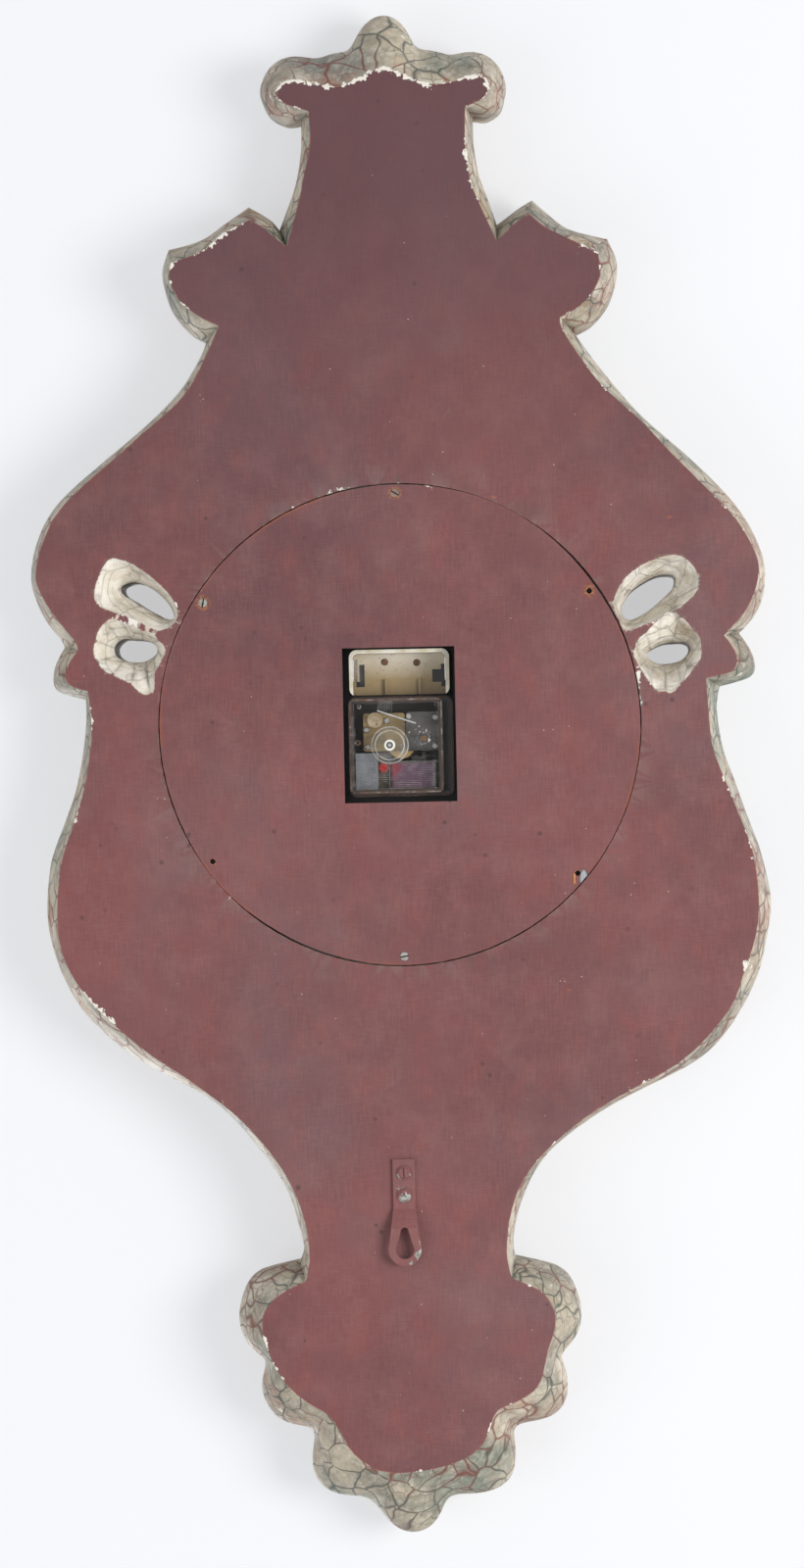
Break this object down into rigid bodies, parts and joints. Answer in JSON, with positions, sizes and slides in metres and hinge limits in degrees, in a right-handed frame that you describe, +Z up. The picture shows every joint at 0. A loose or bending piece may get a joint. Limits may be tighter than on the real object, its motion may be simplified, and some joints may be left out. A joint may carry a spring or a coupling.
{
  "type": "carved wooden wall clock",
  "caption": "Carved and painted wooden wall clock with a shell crest, pierced side scrolls, a bottom palmette, a round back cover with a window over the quartz movement, and a strap hanger",
  "frame": {"origin": "on the wall plane of the board's back, straight behind the axis of the hands", "axes": "+Z up as the clock hangs, +Y out of the back towards the wall, so the dial faces -Y"},
  "size_m": [0.435, 0.075, 0.902],
  "materials": {
    "carved_wood": "matt maroon paint over gesso on a flat back, cream marbled paint with dark veins on the gouged bevels, chipped to white gesso",
    "cover_wood": "matt maroon paint with fine vertical grain and darker patches",
    "dark_steel": "dull browned steel",
    "painted_hanger": "maroon paint chipped to grey metal",
    "painted_screws": "maroon paint worn off the edges of the slots",
    "dial_enamel": "smooth cream enamel",
    "dial_black": "satin black paint",
    "clear_glass": "clear flat glass",
    "bezel_brass": "polished brass",
    "black_hands": "satin black paint",
    "turned_brass": "turned brass",
    "steel": "plain turned steel",
    "bright_steel": "bright plated steel",
    "black_plastic": "moulded black plastic",
    "cream_plastic": "aged cream plastic",
    "smoky_plastic": "clear smoky plastic",
    "clear_knob": "clear moulded plastic",
    "white_plastic": "white plastic",
    "bridge_brass": "flat brushed brass",
    "bridge_steel": "flat steel, grey brown",
    "wheel_brass": "cut brass wheels",
    "cream_wheels": "moulded cream wheels",
    "magnet_grey": "grey sintered magnet",
    "copper_wire": "lacquered copper winding, pink and purple",
    "shield_metal": "grey plated sheet",
    "circuit_brown": "brown laminate",
    "red_plastic": "red moulded plastic"
  },
  "bodies": {
    "case": {"carved_body": "carved_wood", "back_cover": "cover_wood", "cover_screws": "dark_steel", "hanger_strap": "painted_hanger", "hanger_screws": "painted_screws", "dial_plate": "dial_enamel", "dial_screws": "steel", "hour_numerals": "dial_black", "dial_glass": "clear_glass", "bezel_ring": "bezel_brass", "bezel_screws": "bezel_brass", "mounting_bush": "turned_brass", "mounting_washer": "steel", "mounting_nut": "turned_brass", "movement_base": "black_plastic", "battery_holder": "cream_plastic", "battery_spring": "bright_steel", "battery_contact": "bright_steel", "holder_screws": "turned_brass", "clear_case": "smoky_plastic", "brass_bridge": "bridge_brass", "brass_pillars": "turned_brass", "brass_bridge_screws": "steel", "steel_bridge": "bridge_steel", "steel_pillars": "steel", "steel_bridge_screws": "steel", "stator": "steel", "coil_bobbin": "white_plastic", "coil_winding": "copper_wire", "shield_bracket": "shield_metal", "circuit_board": "circuit_brown", "quartz_can": "bright_steel", "red_trimmer": "red_plastic", "index_wire": "bright_steel"},
    "minute": {"minute_arbor": "steel", "minute_hand": "black_hands", "hand_nut": "turned_brass"},
    "hour": {"hour_wheel": "wheel_brass", "hour_hand": "black_hands"},
    "intermediate": {"intermediate_wheel": "wheel_brass"},
    "setting": {"setting_arbor": "steel", "knob_collar": "white_plastic", "setting_knob": "clear_knob"},
    "drive": {"drive_wheel": "wheel_brass"},
    "third": {"third_wheel": "cream_wheels"},
    "fourth": {"fourth_wheel": "cream_wheels"},
    "fifth": {"fifth_wheel": "cream_wheels"},
    "rotor_body": {"rotor": "magnet_grey"},
    "regulator": {"regulator_disc": "cream_plastic"}
  },
  "joints": [
    {"name": "minute_turn", "type": "hinge", "parent": "case", "child": "minute", "pos_m": [0, -0.03, 0], "axis": [0, 1, 0], "continuous": true},
    {"name": "hour_turn", "type": "hinge", "parent": "case", "child": "hour", "pos_m": [0, -0.0327, 0], "axis": [0, 1, 0], "continuous": true},
    {"name": "intermediate_turn", "type": "hinge", "parent": "case", "child": "intermediate", "pos_m": [-0.00413, -0.031, -0.0059], "axis": [0, 1, 0], "continuous": true},
    {"name": "setting_turn", "type": "hinge", "parent": "case", "child": "setting", "pos_m": [-0.0063, -0.016, 0], "axis": [0, 1, 0], "continuous": true},
    {"name": "fourth_turn", "type": "hinge", "parent": "case", "child": "fourth", "pos_m": [0.01092, -0.023, -0.01086], "axis": [0, 1, 0], "continuous": true},
    {"name": "third_turn", "type": "hinge", "parent": "case", "child": "third", "pos_m": [0.00503, -0.026, -0.00746], "axis": [0, 1, 0], "continuous": true},
    {"name": "drive_turn", "type": "hinge", "parent": "case", "child": "drive", "pos_m": [0, -0.0278, 0], "axis": [0, 1, 0], "continuous": true},
    {"name": "fifth_turn", "type": "hinge", "parent": "case", "child": "fifth", "pos_m": [0.01514, -0.021, -0.00856], "axis": [0, 1, 0], "continuous": true},
    {"name": "rotor_turn", "type": "hinge", "parent": "case", "child": "rotor_body", "pos_m": [0.01324, -0.024, -0.0045], "axis": [0, 1, 0], "continuous": true},
    {"name": "regulator_turn", "type": "hinge", "parent": "case", "child": "regulator", "pos_m": [-0.015, -0.017, -0.015], "axis": [0, 1, 0], "range_deg": [-60, 60]}
  ],
  "couplings": [
    {"joint": "hour_turn", "follows": "minute_turn", "ratio": 0.083333},
    {"joint": "intermediate_turn", "follows": "minute_turn", "ratio": -0.33333},
    {"joint": "setting_turn", "follows": "minute_turn", "ratio": -2.5},
    {"joint": "third_turn", "follows": "fourth_turn", "ratio": -0.13333},
    {"joint": "drive_turn", "follows": "fourth_turn", "ratio": 0.016667},
    {"joint": "fifth_turn", "follows": "fourth_turn", "ratio": -5},
    {"joint": "rotor_turn", "follows": "fourth_turn", "ratio": 30}
  ]
}
